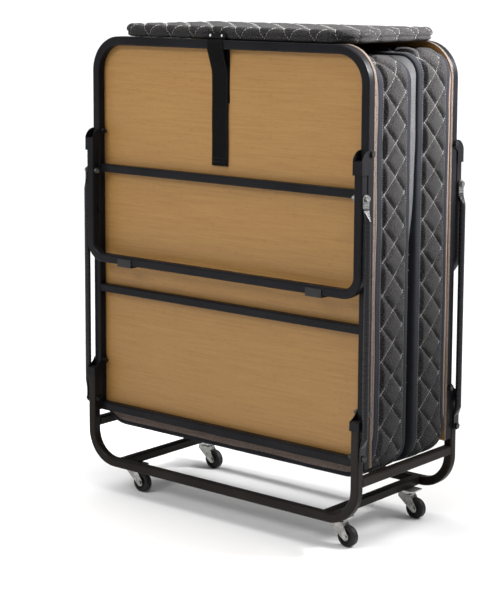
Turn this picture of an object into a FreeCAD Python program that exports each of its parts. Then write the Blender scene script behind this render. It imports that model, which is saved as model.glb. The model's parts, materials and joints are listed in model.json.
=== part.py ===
import FreeCAD, Part
import math
import os

# Folding cot, stored upright on its wheeled base. Millimetres, +Z up, +X to the cot's right, the front
# bed half at -Y and the rear one at +Y. The origin is on the floor, under the middle of the folded cot.
# Rear parts are the front parts mirrored in Y, and right-hand parts are the left ones mirrored in X.

V = FreeCAD.Vector

# ---- overall sizes ----
WIDTH = 900.0                      # over the outsides of the fold links
DEPTH = 410.0                      # over the webs of the leg brackets
HEIGHT = 1210.0                    # floor to the top of the headboard pad

# ---- steel stock ----
TUBE = 22.0                        # square tube of the hoops and bed frames
TUBE_CORNER = 4.0
TUBE_WALL = 1.5
CROSS_TUBE = 20.0                  # square tube of the crossbars
CROSS_CORNER = 3.0
PLATE = 2.0                        # bracket sheet
SIDE_GAP = 0.4                     # between a bracket's cheek and the tube that turns in it
BOLT = 8.0                         # diameter of every pivot bolt
BOLT_CLEARANCE = 0.1               # a turning hole is this much wider than its bolt
LINK_ROD = 15.0

# ---- where the tubes run ----
FRAME_X = WIDTH / 2 - LINK_ROD - 3.0        # outer side face of hoops and frames
TUBE_X = FRAME_X - TUBE / 2
INNER_X = FRAME_X - TUBE
HOOP_Y = DEPTH / 2 - PLATE - TUBE / 2       # base hoops and leg hoops
PANEL_Y = HOOP_Y - TUBE - 1.0               # bed frames, 1 mm inside the hoops

# ---- fold mechanism, a parallelogram on each side ----
FOLD_Z = 335.0                     # bed frame turns on the base here
LEG_PIVOT_Z = 929.0                # leg turns on the bed frame here
LINK_DROP = 99.0                   # the link runs parallel to the frame, this far below
LINK_LOW_Z = FOLD_Z - LINK_DROP
LINK_HIGH_Z = LEG_PIVOT_Z - LINK_DROP

# ---- base ----
BASE_BEND = 77.0                   # centre-line radius of the hoop's lower corners
RAIL_Z = 81.0                      # centre of the hoop's floor rail
BASE_TOP_Z = 320.0
UPPER_BAR_Z = 175.0
LOWER_BAR_X = 330.0

# ---- bed frames ----
FRAME_TOP_Z = 1170.0
FRAME_BOTTOM_Z = 206.0
FRAME_BEND = 77.0
UPPER_CROSS_Z = 836.0
LOWER_CROSS_Z = 527.0
BOARD_THICKNESS = 8.0
BOARD_CORNER = 86.0
MATTRESS_X = 430.0
MATTRESS_GAP = 24.0                # between the two mattress halves
MATTRESS_TOP_Z = 1150.0
MATTRESS_CORNER = 90.0
OPEN_GAP = 6.0                     # between the halves when the bed is open

# ---- legs ----
LEG_TOP_Z = 914.0
LEG_BEND = 41.0
FOOT_X = 300.0
FOOT_WIDTH = 46.0
FOOT_WALL = 2.5
FOOT_SOLE = 5.0

# ---- pivot brackets ----
CHEEK_RADIUS = 10.4                # less than half a tube, so that the boards pass
BASE_BRACKET_LOW_Z = 299.0
BASE_WEB_TOP_Z = 320.0
BASE_CHEEK_BULGE = -3.0
LEG_BRACKET_LOW_Z = 882.0
LEG_WEB_TOP_Z = 914.0
LEG_CHEEK_BULGE = 7.0

# ---- fasteners ----
HEAD_HEIGHT = 5.0
NUT_HEIGHT = 6.0
HEX_FLATS = 13.0
THREAD_END = 5.0                   # bolt standing out of its nut

# ---- headboard and strap ----
PAD_X = 362.0
PAD_FRONT_Y = -172.0
PAD_REAR_Y = 182.0
PAD_BOTTOM_Z = FRAME_TOP_Z + 3.0
PAD_CORNER = 50.0
PAD_EDGE = 12.0
CORE_THICKNESS = 9.0
CORE_BOTTOM_Z = 1187.0
HEAD_BRACKET_X = 250.0
HEAD_BRACKET_WIDTH = 30.0
STRAP_X = -20.0
STRAP_WIDTH = 50.0
STRAP_THICKNESS = 2.4

# ---- casters ----
CASTER_X = LOWER_BAR_X
CASTER_Y = 140.0
WHEEL_RADIUS = 25.0
WHEEL_WIDTH = 18.0
CASTER_TRAIL = 30.0
KINGPIN = 8.0
AXLE = 6.0


# ---------------------------------------------------------------- building blocks

def box(x, y, z):
    """A box between the two values of each of x, y and z."""
    size = (x[1] - x[0], y[1] - y[0], z[1] - z[0])
    return Part.makeBox(*size, V(x[0], y[0], z[0]))


def rod_x(radius, x0, x1, y, z):
    return Part.makeCylinder(radius, x1 - x0, V(x0, y, z), V(1, 0, 0))


def rod_y(radius, x, y0, y1, z):
    return Part.makeCylinder(radius, y1 - y0, V(x, y0, z), V(0, 1, 0))


def rod_z(radius, x, y, z0, z1):
    return Part.makeCylinder(radius, z1 - z0, V(x, y, z0), V(0, 0, 1))


def hexagon_x(flats, x0, x1, y, z):
    corner = flats / math.sqrt(3)
    ring = [V(x0, y + corner * math.cos(a), z + corner * math.sin(a))
            for a in [math.radians(60 * k) for k in range(7)]]
    return Part.Face(Part.makePolygon(ring)).extrude(V(x1 - x0, 0, 0))


def mirror_x(shape):
    return shape.mirror(V(0, 0, 0), V(1, 0, 0))


def mirror_y(shape):
    return shape.mirror(V(0, 0, 0), V(0, 1, 0))


def both_sides(shape):
    """A left-hand piece and its right-hand twin, as separate solids."""
    return [shape, mirror_x(shape)]


def rounded_outline(width, height, corner, centre, u, v):
    """A rounded rectangle as a wire, width along u and height along v."""
    w, h, arc = width / 2, height / 2, math.sqrt(0.5)
    spots = []
    for su, sv in ((1, -1), (1, 1), (-1, 1), (-1, -1)):
        middle = centre + u * (su * (w - corner)) + v * (sv * (h - corner))
        ways = [u * su, (u * su + v * sv) * arc, v * sv]
        if su * sv > 0:
            spots.append([middle + way * corner for way in ways])
        else:
            spots.append([middle + way * corner for way in reversed(ways)])
    edges = []
    for here, there in zip(spots, spots[1:] + spots[:1]):
        edges.append(Part.Arc(*here).toShape())
        edges.append(Part.LineSegment(here[2], there[0]).toShape())
    return Part.Wire(edges)


def rounded_plate(x, z, y, corner_low, corner_high):
    """A plate lying in XZ, between the two values of y, with its own corner radius below and above."""
    radius = {z[0]: corner_low, z[1]: corner_high}
    round_corners = [
        (x[0], z[0], 1, 1), (x[0], z[1], 1, -1), (x[1], z[1], -1, -1), (x[1], z[0], -1, 1)]
    edges, last, first = [], None, None
    for number, (cx, cz, sx, sz) in enumerate(round_corners):
        r = radius[cz]
        by_x, by_z = V(cx + sx * r, y[0], cz), V(cx, y[0], cz + sz * r)
        enter, leave = (by_x, by_z) if number % 2 == 0 else (by_z, by_x)
        if last is not None:
            edges.append(Part.LineSegment(last, enter).toShape())
        first = first or enter
        if r > 0:
            bow = r * (1 - math.sqrt(0.5))
            edges.append(Part.Arc(enter, V(cx + sx * bow, y[0], cz + sz * bow), leave).toShape())
        last = leave
    edges.append(Part.LineSegment(last, first).toShape())
    return Part.Face(Part.Wire(edges)).extrude(V(0, y[1] - y[0], 0))


def bent_path(points, radius):
    """Straight runs through the points, joined by tangent arcs of one radius."""
    edges, start = [], points[0]
    for before, corner, after in zip(points, points[1:], points[2:]):
        back, on = (before - corner).normalize(), (after - corner).normalize()
        half = back.getAngle(on) / 2
        reach = radius / math.tan(half)
        middle = corner + (back + on).normalize() * (radius / math.sin(half) - radius)
        enter, leave = corner + back * reach, corner + on * reach
        edges += [Part.LineSegment(start, enter).toShape(), Part.Arc(enter, middle, leave).toShape()]
        start = leave
    edges.append(Part.LineSegment(start, points[-1]).toShape())
    return Part.Wire(edges)


def hoop_tube(top_z, bottom_z, y, bend, open_down):
    """Square tube bent to a U in the XZ plane, hollow, with closed ends."""
    end_z, rail_z = (bottom_z, top_z) if open_down else (top_z, bottom_z)
    up = 1 if open_down else -1
    rail_z -= up * TUBE / 2

    def swept(size, corner, shorter):
        start = end_z + up * shorter
        corners = [V(-TUBE_X, y, start), V(-TUBE_X, y, rail_z), V(TUBE_X, y, rail_z), V(TUBE_X, y, start)]
        section = rounded_outline(size, size, corner, corners[0], V(1, 0, 0), V(0, 1, 0))
        return bent_path(corners, bend).makePipeShell([section], True, False)

    bore = TUBE - 2 * TUBE_WALL
    return swept(TUBE, TUBE_CORNER, 0).cut(swept(bore, TUBE_CORNER - TUBE_WALL, TUBE_WALL))


def straight_tube(start, end, size, corner):
    """Hollow square tube along X or Y, open where it is welded against its neighbours."""
    along = end - start
    u = V(0, 1, 0) if abs(along.x) > abs(along.y) else V(1, 0, 0)
    outer = Part.Face(rounded_outline(size, size, corner, start, u, V(0, 0, 1))).extrude(along)
    bore = size - 2 * TUBE_WALL
    inner = Part.Face(rounded_outline(bore, bore, corner - TUBE_WALL, start, u, V(0, 0, 1))).extrude(along)
    return outer.cut(inner)


def cross_member(y, z, size, corner):
    """A crossbar from one side tube's inner face to the other's."""
    return straight_tube(V(-INNER_X, y, z), V(INNER_X, y, z), size, corner)


def pivot_bracket(low_z, web_top_z, pivot_z, bulge):
    """Left-hand folded bracket: a web on the outside of a hoop and two cheeks round the frame's tube. The
    cheeks' edge between web and pivot is an arc that stands out by bulge."""
    outer_y = -HOOP_Y - TUBE / 2 - PLATE
    flange_y = -HOOP_Y + TUBE / 2
    pivot = V(0, -PANEL_Y, pivot_z)
    crown = V(0, outer_y, web_top_z)
    reach = crown.distanceToPoint(pivot)
    lean = math.atan2(crown.z - pivot.z, crown.y - pivot.y) - math.acos(CHEEK_RADIUS / reach)
    top = pivot + V(0, math.cos(lean), math.sin(lean)) * CHEEK_RADIUS
    below = pivot - V(0, 0, CHEEK_RADIUS)
    inside = pivot + V(0, CHEEK_RADIUS, 0)
    chord = (top - crown).normalize()
    shoulder = (crown + top) * 0.5 + V(0, -chord.z, chord.y) * bulge
    neck = V(0, flange_y, below.z - (below.y - flange_y) * 0.8)
    low_in, low_out = V(0, flange_y, low_z), V(0, outer_y, low_z)
    outline = Part.Wire([
        Part.LineSegment(low_out, crown).toShape(),
        Part.Arc(crown, shoulder, top).toShape(),
        Part.Arc(top, inside, below).toShape(),
        Part.LineSegment(below, neck).toShape(),
        Part.LineSegment(neck, low_in).toShape(),
        Part.LineSegment(low_in, low_out).toShape()])
    cheek = Part.Face(outline).extrude(V(PLATE, 0, 0))
    outside_x = -FRAME_X - SIDE_GAP - PLATE
    inside_x = -INNER_X + SIDE_GAP
    web = box((outside_x, inside_x + PLATE), (outer_y, outer_y + PLATE), (low_z, web_top_z))
    cheeks = [cheek.translated(V(x, 0, 0)) for x in (outside_x, inside_x)]
    hole = rod_x(BOLT / 2, outside_x - 1, inside_x + PLATE + 1, -PANEL_Y, pivot_z)
    return web.fuse(cheeks).removeSplitter().cut(hole)


def bolt(y, z, head_x, nut_x):
    """Left-hand bolt along X: the outer face of what it clamps is at -head_x, the inner at -nut_x."""
    end = -nut_x + NUT_HEIGHT + THREAD_END
    shank = rod_x(BOLT / 2, -head_x, end, y, z)
    return shank.fuse(hexagon_x(HEX_FLATS, -head_x - HEAD_HEIGHT, -head_x, y, z))


def nut(y, z, nut_x):
    body = hexagon_x(HEX_FLATS, -nut_x, -nut_x + NUT_HEIGHT, y, z)
    return body.cut(rod_x(BOLT / 2, -nut_x - 1, -nut_x + NUT_HEIGHT + 1, y, z))


CHEEK_OUT_X = FRAME_X + SIDE_GAP + PLATE
CHEEK_IN_X = INNER_X - SIDE_GAP - PLATE


# ---------------------------------------------------------------- base

def base_hoop():
    hoop = hoop_tube(BASE_TOP_Z, RAIL_Z - TUBE / 2, -HOOP_Y, BASE_BEND, open_down=False)
    return hoop.cut(rod_x(BOLT / 2, -FRAME_X - 1, FRAME_X + 1, -HOOP_Y, LINK_LOW_Z))


def side_bar(x, z):
    reach = HOOP_Y - TUBE / 2
    return straight_tube(V(x, -reach, z), V(x, reach, z), TUBE, TUBE_CORNER)


def caster_mount(x, y):
    """Plate under a lower side bar, with the riveted kingpin that the fork swivels on."""
    top = RAIL_Z - TUBE / 2
    plate = box((x - 34, x + 34), (y - 23, y + 23), (top - 3, top))
    upright = [e for e in plate.Edges if abs(e.tangentAt(e.FirstParameter).z) > 0.9]
    plate = plate.makeFillet(6, upright)
    pin = rod_z(KINGPIN / 2, x, y, FORK_WEB_Z - 0.4, top - 3)
    head = rod_z(6.5, x, y, FORK_WEB_Z - 3, FORK_WEB_Z - 0.4)
    return plate.fuse([pin, head])


# ---------------------------------------------------------------- bed frames

BOARD_OUT_Y = -PANEL_Y + TUBE / 2
BOARD_IN_Y = BOARD_OUT_Y + BOARD_THICKNESS
CROSS_Y = BOARD_OUT_Y - CROSS_TUBE / 2
SCREW_SPOTS = [
    (x, z)
    for z in (UPPER_CROSS_Z, LOWER_CROSS_Z)
    for x in (-300.0, 0.0, 300.0)
] + [(x, z) for x in (-TUBE_X, TUBE_X) for z in (280.0, 680.0, 1020.0)]


def frame_tube():
    frame = hoop_tube(FRAME_TOP_Z, FRAME_BOTTOM_Z, -PANEL_Y, FRAME_BEND, open_down=True)
    for z in (FOLD_Z, LEG_PIVOT_Z):
        frame = frame.cut(rod_x((BOLT + BOLT_CLEARANCE) / 2, -FRAME_X - 1, FRAME_X + 1, -PANEL_Y, z))
    return frame


def board_screw(x, z):
    """Countersunk screw from the mattress side through the board into a tube's wall."""
    shank = rod_y(2.0, x, BOARD_OUT_Y - 8, BOARD_IN_Y - 2, z)
    head = Part.makeCone(2.0, 4.2, 2.0, V(x, BOARD_IN_Y - 2, z), V(0, 1, 0))
    return shank.fuse(head)


def without_screws(shape):
    return shape.cut([board_screw(x, z) for x, z in SCREW_SPOTS])


def board():
    sheet = rounded_plate(
        (-FRAME_X, FRAME_X), (FRAME_BOTTOM_Z, FRAME_TOP_Z), (BOARD_OUT_Y, BOARD_IN_Y), 0, BOARD_CORNER)
    return without_screws(sheet)


def mattress():
    bottom = FOLD_Z - (PANEL_Y - OPEN_GAP / 2)
    return rounded_plate(
        (-MATTRESS_X, MATTRESS_X), (bottom, MATTRESS_TOP_Z), (BOARD_IN_Y, -MATTRESS_GAP / 2),
        MATTRESS_CORNER, MATTRESS_CORNER)


# ---------------------------------------------------------------- legs and links

def leg_hoop():
    low_z = LEG_PIVOT_Z - FOLD_Z + FOOT_SOLE
    hoop = hoop_tube(LEG_TOP_Z, low_z, -HOOP_Y, LEG_BEND, open_down=False)
    return hoop.cut(rod_x(BOLT / 2, -FRAME_X - 1, FRAME_X + 1, -HOOP_Y, LINK_HIGH_Z))


def leg_foot():
    """Plastic clip that wraps the leg's floor bar and is its sole when the bed is open."""
    sole_z = LEG_PIVOT_Z - FOLD_Z
    half = TUBE / 2 + FOOT_WALL
    x = (-FOOT_X - FOOT_WIDTH / 2, -FOOT_X + FOOT_WIDTH / 2)
    clip = box(x, (-HOOP_Y - half, -HOOP_Y + half), (sole_z, sole_z + FOOT_SOLE + 0.7 * TUBE))
    along = [e for e in clip.Edges if abs(e.tangentAt(e.FirstParameter).x) > 0.9]
    clip = clip.makeFillet(1.5, along)
    bar = straight_solid(x, -HOOP_Y, sole_z + FOOT_SOLE + TUBE / 2)
    return clip.cut(bar)


def straight_solid(x, y, z):
    """The full outer shape of a square tube along X."""
    section = rounded_outline(TUBE, TUBE, TUBE_CORNER, V(x[0] - 1, y, z), V(0, 1, 0), V(0, 0, 1))
    return Part.Face(section).extrude(V(x[1] - x[0] + 2, 0, 0))


LINK_EYE_X = FRAME_X + 3.3         # inner face of the flattened eye
LINK_EYE = 3.2                     # its thickness
LINK_EYE_RADIUS = 10.0
LINK_FLAT = 26.0                   # from the eye's centre to where the rod starts to swell
LINK_SWELL = 22.0


def link_end(eye_z, up):
    """Flattened and cranked end of a fold link, with the boss that spaces it off the tube."""
    flat_x = -LINK_EYE_X - LINK_EYE / 2
    rod_centre_x = -WIDTH / 2 + LINK_ROD / 2
    y = -HOOP_Y
    eye = rod_x(LINK_EYE_RADIUS, -LINK_EYE_X - LINK_EYE, -LINK_EYE_X, y, eye_z)
    boss = rod_x(7.0, -LINK_EYE_X, -FRAME_X - SIDE_GAP, y, eye_z)
    z = sorted((eye_z, eye_z + up * LINK_FLAT))
    strip = box((-LINK_EYE_X - LINK_EYE, -LINK_EYE_X), (y - LINK_EYE_RADIUS, y + LINK_EYE_RADIUS), z)
    flat = rounded_outline(
        LINK_EYE, 2 * LINK_EYE_RADIUS, 0.3, V(flat_x, y, eye_z + up * LINK_FLAT), V(1, 0, 0), V(0, 1, 0))
    full = rounded_outline(
        LINK_ROD, LINK_ROD, LINK_ROD / 2 - 0.01, V(rod_centre_x, y, eye_z + up * (LINK_FLAT + LINK_SWELL)),
        V(1, 0, 0), V(0, 1, 0))
    swell = Part.makeLoft([flat, full], True)
    hole = rod_x((BOLT + BOLT_CLEARANCE) / 2, -WIDTH / 2, -FRAME_X, y, eye_z)
    return eye.fuse([boss, strip, swell]).cut(hole)


def fold_link():
    reach = LINK_FLAT + LINK_SWELL
    rod = rod_z(LINK_ROD / 2, -WIDTH / 2 + LINK_ROD / 2, -HOOP_Y, LINK_LOW_Z + reach, LINK_HIGH_Z - reach)
    return rod.fuse([link_end(LINK_LOW_Z, 1), link_end(LINK_HIGH_Z, -1)]).removeSplitter()


LINK_HEAD_X = LINK_EYE_X + LINK_EYE + 0.4


def link_bolt(z):
    return bolt(-HOOP_Y, z, LINK_HEAD_X, INNER_X)


def pivot_bolt(z):
    return bolt(-PANEL_Y, z, CHEEK_OUT_X, CHEEK_IN_X)


# ---------------------------------------------------------------- headboard and strap

CORE_X = PAD_X - 60.0
CORE_FRONT_Y = PAD_FRONT_Y + 30.0
HEAD_STRIP_Y = (80.0, PANEL_Y + TUBE / 2)
CORE_SCREW_Y = (95.0, 130.0)


def headboard_core():
    return box((-CORE_X, CORE_X), (CORE_FRONT_Y, PAD_REAR_Y), (CORE_BOTTOM_Z, CORE_BOTTOM_Z + CORE_THICKNESS))


def head_bracket(x):
    half = HEAD_BRACKET_WIDTH / 2
    return box((x - half, x + half), HEAD_STRIP_Y, (FRAME_TOP_Z, PAD_BOTTOM_Z))


def core_screw(x, y):
    """Screw up through a headboard bracket into the core."""
    head = rod_z(5.0, x, y, FRAME_TOP_Z - 2.5, FRAME_TOP_Z)
    return head.fuse(rod_z(2.5, x, y, FRAME_TOP_Z, CORE_BOTTOM_Z + CORE_THICKNESS - 2))


def rail_screw(x):
    """Countersunk screw down through a headboard bracket into the rear frame's top rail."""
    shank = rod_z(2.5, x, PANEL_Y, FRAME_TOP_Z - 8, PAD_BOTTOM_Z - 2.5)
    return shank.fuse(Part.makeCone(2.5, 5.0, 2.5, V(x, PANEL_Y, PAD_BOTTOM_Z - 2.5), V(0, 0, 1)))


HEAD_SCREWS = [core_screw(x, y) for x in (-HEAD_BRACKET_X, HEAD_BRACKET_X) for y in CORE_SCREW_Y]
RAIL_SCREWS = [rail_screw(x) for x in (-HEAD_BRACKET_X, HEAD_BRACKET_X)]


CLAMP_Z = (PAD_BOTTOM_Z + 1.0, PAD_BOTTOM_Z + 13.0)
CLAMP_Y = (PAD_FRONT_Y - 3.0, PAD_FRONT_Y)
CLAMP_SCREW_X = (STRAP_X - 20.0, STRAP_X + 16.0)


def clamp_screw(x):
    z = sum(CLAMP_Z) / 2
    head = Part.makeSphere(4.0, V(x, CLAMP_Y[0] + 2.4, z))
    head = head.common(box((x - 5, x + 5), (CLAMP_Y[0] - 5, CLAMP_Y[0]), (z - 5, z + 5)))
    return head.fuse(rod_y(1.8, x, CLAMP_Y[0], CORE_FRONT_Y - 5, z))


CLAMP_SCREWS = [clamp_screw(x) for x in CLAMP_SCREW_X]


def headboard_pad():
    pad = rounded_plan_block((-PAD_X, PAD_X), (PAD_FRONT_Y, PAD_REAR_Y), (PAD_BOTTOM_Z, HEIGHT), PAD_CORNER)
    rims = [e for e in pad.Edges if abs(e.BoundBox.ZMax - e.BoundBox.ZMin) < 0.01]
    pad = pad.makeFillet(PAD_EDGE, rims)
    return pad.cut([headboard_core()] + HEAD_SCREWS + CLAMP_SCREWS)


def rounded_plan_block(x, y, z, corner):
    """A block whose four upright edges are rounded."""
    centre = V(sum(x) / 2, sum(y) / 2, z[0])
    outline = rounded_outline(x[1] - x[0], y[1] - y[0], corner, centre, V(1, 0, 0), V(0, 1, 0))
    return Part.Face(outline).extrude(V(0, 0, z[1] - z[0]))


def strap_band(points):
    """Webbing of one thickness along points in the YZ plane, as wide as the strap."""
    half = STRAP_THICKNESS / 2
    sides = {1: [], -1: []}
    for number, (y, z) in enumerate(points):
        before = points[max(number - 1, 0)]
        after = points[min(number + 1, len(points) - 1)]
        ways = [V(0, b[0] - a[0], b[1] - a[1]) for a, b in ((before, (y, z)), ((y, z), after)) if a != b]
        normals = [V(0, -way.z, way.y).normalize() for way in ways]
        middle = sum(normals[1:], normals[0]).normalize()
        mitre = half / middle.dot(normals[0])
        for side in sides:
            sides[side].append(V(0, y, z) + middle * (side * mitre))
    ring = sides[1] + sides[-1][::-1]
    outline = Part.makePolygon(ring + ring[:1])
    return Part.Face(outline).extrude(V(STRAP_WIDTH, 0, 0)).translated(V(STRAP_X - STRAP_WIDTH / 2, 0, 0))


def strap():
    """From just under its clamp, down the front of the top rail and in to the board."""
    rail_y = -PANEL_Y - TUBE / 2 - STRAP_THICKNESS / 2
    board_y = BOARD_OUT_Y - 1.5 * STRAP_THICKNESS
    return strap_band([
        (PAD_FRONT_Y - 2.0, FRAME_TOP_Z + STRAP_THICKNESS / 2),
        (rail_y, FRAME_TOP_Z + STRAP_THICKNESS / 2),
        (rail_y, FRAME_TOP_Z - TUBE),
        (board_y, FRAME_TOP_Z - 75.0),
        (board_y, UPPER_CROSS_Z + 30.0)])


def strap_backing():
    """The second half of the hook-and-loop pair, fixed to the board below the top rail."""
    x = (STRAP_X - STRAP_WIDTH / 2, STRAP_X + STRAP_WIDTH / 2)
    return box(x, (BOARD_OUT_Y - STRAP_THICKNESS, BOARD_OUT_Y), (FRAME_TOP_Z - 150.0, FRAME_TOP_Z - TUBE))


# ---------------------------------------------------------------- casters

FORK_WEB_Z = 56.0
FORK_CUP_TOP_Z = RAIL_Z - TUBE / 2 - 3.5
FORK_PLATE = 2.2
FORK_INNER = WHEEL_WIDTH / 2 + 1.0
AXLE_HEAD = 3.0


def caster_fork(x, y):
    """Swivel cup, web and two tapered cheeks down to the axle."""
    cup = rod_z(20.0, x, y, FORK_WEB_Z + 5, FORK_CUP_TOP_Z)
    neck = Part.makeCone(15.0, 20.0, 2.5, V(x, y, FORK_WEB_Z + 2.5), V(0, 0, 1))
    outer = FORK_INNER + FORK_PLATE
    web = box((x - 15, x + 21), (y - outer, y + outer), (FORK_WEB_Z, FORK_WEB_Z + 2.5))
    axle_x, boss = x + CASTER_TRAIL, 9.0
    shape = web.fuse([cup, neck])
    for side_y in (y - outer, y + FORK_INNER):
        ring = [(x - 15, FORK_WEB_Z), (x + 21, FORK_WEB_Z), (axle_x + boss, WHEEL_RADIUS + 3),
                (axle_x - boss * 0.8, WHEEL_RADIUS - boss * 0.6), (x - 15, FORK_WEB_Z - 6)]
        outline = Part.makePolygon([V(px, side_y, pz) for px, pz in ring + ring[:1]])
        cheek = Part.Face(outline).extrude(V(0, FORK_PLATE, 0))
        shape = shape.fuse([cheek, rod_y(boss, axle_x, side_y, side_y + FORK_PLATE, WHEEL_RADIUS)])
    shape = shape.cut(rod_z((KINGPIN + BOLT_CLEARANCE) / 2, x, y, 0, FORK_CUP_TOP_Z + 1))
    return shape.cut(rod_y(AXLE / 2, axle_x, y - outer - 1, y + outer + 1, WHEEL_RADIUS)).removeSplitter()


def caster_axle(x, y):
    axle_x, outer = x + CASTER_TRAIL, FORK_INNER + FORK_PLATE
    shaft = rod_y(AXLE / 2, axle_x, y - outer, y + outer, WHEEL_RADIUS)
    heads = [rod_y(5.0, axle_x, y - outer - AXLE_HEAD, y - outer, WHEEL_RADIUS),
             rod_y(5.0, axle_x, y + outer, y + outer + AXLE_HEAD, WHEEL_RADIUS)]
    return shaft.fuse(heads)


def caster_wheel(x, y):
    """Solid wheel with rounded shoulders, dished sides and a hub."""
    axle_x, half = x + CASTER_TRAIL, WHEEL_WIDTH / 2
    wheel = rod_y(WHEEL_RADIUS, axle_x, y - half, y + half, WHEEL_RADIUS)
    rims = [e for e in wheel.Edges if isinstance(e.Curve, Part.Circle)]
    wheel = wheel.makeFillet(3.5, rims)
    for start, end in ((y - half, y - half + 3), (y + half - 3, y + half)):
        dish = rod_y(17.0, axle_x, start, end, WHEEL_RADIUS).cut(rod_y(7.0, axle_x, start, end, WHEEL_RADIUS))
        wheel = wheel.cut(dish)
    return wheel.cut(rod_y((AXLE + BOLT_CLEARANCE) / 2, axle_x, y - half - 1, y + half + 1, WHEEL_RADIUS))


# ---------------------------------------------------------------- the whole cot

def same(shape):
    return shape


ENDS = {"front": same, "rear": mirror_y}


def make_nodes():
    nodes = {}

    for end, place in ENDS.items():
        nodes[end + "_base_hoop"] = [place(base_hoop())]
        nodes[end + "_frame_tube"] = [place(without_screws(frame_tube()))]
        rail = cross_member(-PANEL_Y, FRAME_BOTTOM_Z + TUBE / 2, TUBE, TUBE_CORNER)
        nodes[end + "_bottom_rail"] = [place(rail)]
        for level, z in (("upper", UPPER_CROSS_Z), ("lower", LOWER_CROSS_Z)):
            bar = without_screws(cross_member(CROSS_Y, z, CROSS_TUBE, CROSS_CORNER))
            nodes[f"{end}_{level}_crossbar"] = [place(bar)]
        nodes[end + "_board"] = [place(board())]
        nodes[end + "_board_screws"] = [place(board_screw(x, z)) for x, z in SCREW_SPOTS]
        nodes[end + "_mattress"] = [place(mattress())]
        nodes[end + "_leg_hoop"] = [place(leg_hoop())]
        leg_bracket = pivot_bracket(LEG_BRACKET_LOW_Z, LEG_WEB_TOP_Z, LEG_PIVOT_Z, LEG_CHEEK_BULGE)
        nodes[end + "_leg_brackets"] = [place(s) for s in both_sides(leg_bracket)]
        nodes[end + "_leg_feet"] = [place(s) for s in both_sides(leg_foot())]
        bolts = both_sides(pivot_bolt(LEG_PIVOT_Z)) + both_sides(link_bolt(LINK_HIGH_Z))
        nodes[end + "_leg_bolts"] = [place(s) for s in bolts]
        nuts = both_sides(nut(-PANEL_Y, LEG_PIVOT_Z, CHEEK_IN_X)) + both_sides(nut(-HOOP_Y, LINK_HIGH_Z, INNER_X))
        nodes[end + "_leg_nuts"] = [place(s) for s in nuts]
        for side, link in zip(("left", "right"), both_sides(fold_link())):
            nodes[f"{end}_{side}_fold_link"] = [place(link)]

    def at_both_ends(shape):
        return [place(s) for place in ENDS.values() for s in both_sides(shape)]

    base_bracket = pivot_bracket(BASE_BRACKET_LOW_Z, BASE_WEB_TOP_Z, FOLD_Z, BASE_CHEEK_BULGE)
    nodes["base_brackets"] = at_both_ends(base_bracket)
    nodes["fold_pivot_bolts"] = at_both_ends(pivot_bolt(FOLD_Z))
    nodes["base_link_bolts"] = at_both_ends(link_bolt(LINK_LOW_Z))
    nodes["base_nuts"] = at_both_ends(nut(-PANEL_Y, FOLD_Z, CHEEK_IN_X)) + at_both_ends(
        nut(-HOOP_Y, LINK_LOW_Z, INNER_X))
    for side, sign in (("left", -1), ("right", 1)):
        nodes[side + "_upper_side_bar"] = [side_bar(sign * TUBE_X, UPPER_BAR_Z)]
        nodes[side + "_lower_side_bar"] = [side_bar(sign * LOWER_BAR_X, RAIL_Z)]

    nodes["headboard_pad"] = [headboard_pad()]
    nodes["headboard_core"] = [headboard_core().cut(HEAD_SCREWS + CLAMP_SCREWS)]
    brackets = [head_bracket(x).cut(HEAD_SCREWS + RAIL_SCREWS) for x in (-HEAD_BRACKET_X, HEAD_BRACKET_X)]
    nodes["headboard_brackets"] = brackets
    nodes["headboard_screws"] = HEAD_SCREWS + RAIL_SCREWS
    nodes["rear_frame_tube"] = [nodes["rear_frame_tube"][0].cut(RAIL_SCREWS)]
    strap_x = (STRAP_X - STRAP_WIDTH / 2 - 2, STRAP_X + STRAP_WIDTH / 2 + 2)
    nodes["strap_clamp"] = [box(strap_x, CLAMP_Y, CLAMP_Z).cut(CLAMP_SCREWS)]
    nodes["strap_clamp_screws"] = CLAMP_SCREWS
    nodes["strap"] = [strap()]
    nodes["strap_backing"] = [strap_backing()]

    corners = {"front_left": (-1, -1), "front_right": (1, -1), "rear_left": (-1, 1), "rear_right": (1, 1)}
    mounts = []
    for corner, (sx, sy) in corners.items():
        x, y = sx * CASTER_X, sy * CASTER_Y
        mounts.append(caster_mount(x, y))
        nodes[corner + "_caster_fork"] = [caster_fork(x, y)]
        nodes[corner + "_caster_axle"] = [caster_axle(x, y)]
        nodes[corner + "_caster_wheel"] = [caster_wheel(x, y)]
    nodes["caster_mounts"] = mounts
    return nodes


def write(name, pieces):
    solids = [solid for piece in pieces for solid in piece.Solids]
    shape = solids[0] if len(solids) == 1 else Part.makeCompound(solids)
    if not shape.isValid() or len(solids) != len(pieces):
        raise RuntimeError(f"{name} has {len(solids)} solids for {len(pieces)} pieces")
    shape.exportStep(f"parts/{name}.step")


os.makedirs("parts", exist_ok=True)
for node, pieces in make_nodes().items():
    write(node, pieces)
    print(node, len(pieces))
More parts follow.
